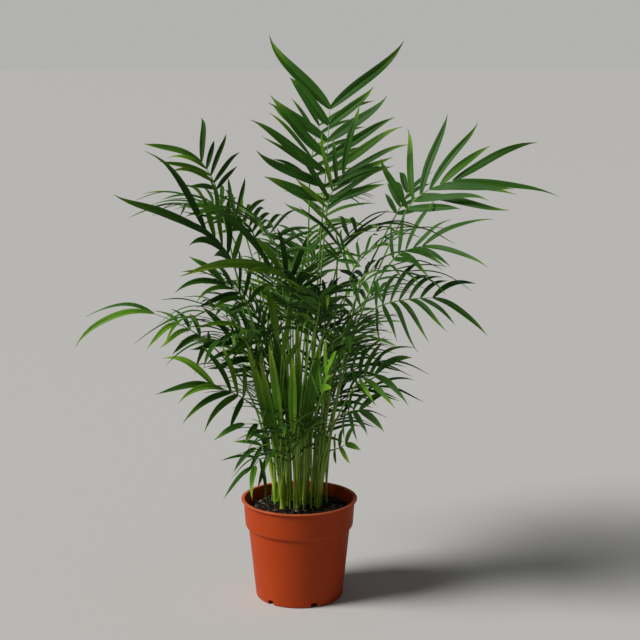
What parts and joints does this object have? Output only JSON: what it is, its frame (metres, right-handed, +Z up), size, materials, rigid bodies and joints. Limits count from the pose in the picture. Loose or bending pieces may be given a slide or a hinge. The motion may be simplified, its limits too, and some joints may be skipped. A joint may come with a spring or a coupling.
{
  "type": "potted parlour palm",
  "caption": "Bushy clump of slender-caned parlour palm with feather fronds in a plain terracotta-coloured plastic nursery pot.",
  "frame": {"origin": "centre of the pot's flat underside", "axes": "+Z up along the pot's axis; the picture looks along +Y, so +X is the plant's right in the picture and -Y its near side"},
  "size_m": [0.6783, 0.5547, 0.8152],
  "materials": {
    "pot": "satin terracotta-orange moulded plastic",
    "soil": "moist dark peat compost with bark crumbs",
    "cane": "smooth green cane with pale rings",
    "frond": "soft sheen leaf green"
  },
  "bodies": {
    "root": {"pot": "pot", "soil": "soil", "cane_01": "cane", "cane_02": "cane", "cane_03": "cane", "cane_04": "cane", "cane_05": "cane", "cane_06": "cane", "cane_07": "cane", "cane_08": "cane", "cane_09": "cane", "cane_10": "cane", "cane_11": "cane", "cane_12": "cane", "cane_13": "cane", "frond_01": "frond", "frond_02": "frond", "frond_03": "frond", "frond_04": "frond", "frond_05": "frond", "frond_06": "frond", "frond_07": "frond", "frond_08": "frond", "frond_09": "frond", "frond_10": "frond", "frond_11": "frond", "frond_12": "frond", "frond_13": "frond", "frond_14": "frond", "frond_15": "frond", "frond_16": "frond", "frond_17": "frond", "frond_18": "frond", "frond_19": "frond", "frond_20": "frond", "frond_21": "frond", "frond_22": "frond", "frond_23": "frond", "frond_24": "frond", "frond_25": "frond", "frond_26": "frond", "frond_27": "frond", "frond_28": "frond", "frond_29": "frond", "frond_30": "frond", "frond_31": "frond", "frond_32": "frond", "frond_33": "frond", "frond_34": "frond", "frond_35": "frond", "frond_36": "frond", "frond_37": "frond", "frond_38": "frond", "frond_39": "frond", "frond_40": "frond", "frond_41": "frond", "frond_42": "frond", "frond_43": "frond", "frond_44": "frond", "frond_45": "frond"}
  },
  "joints": []
}
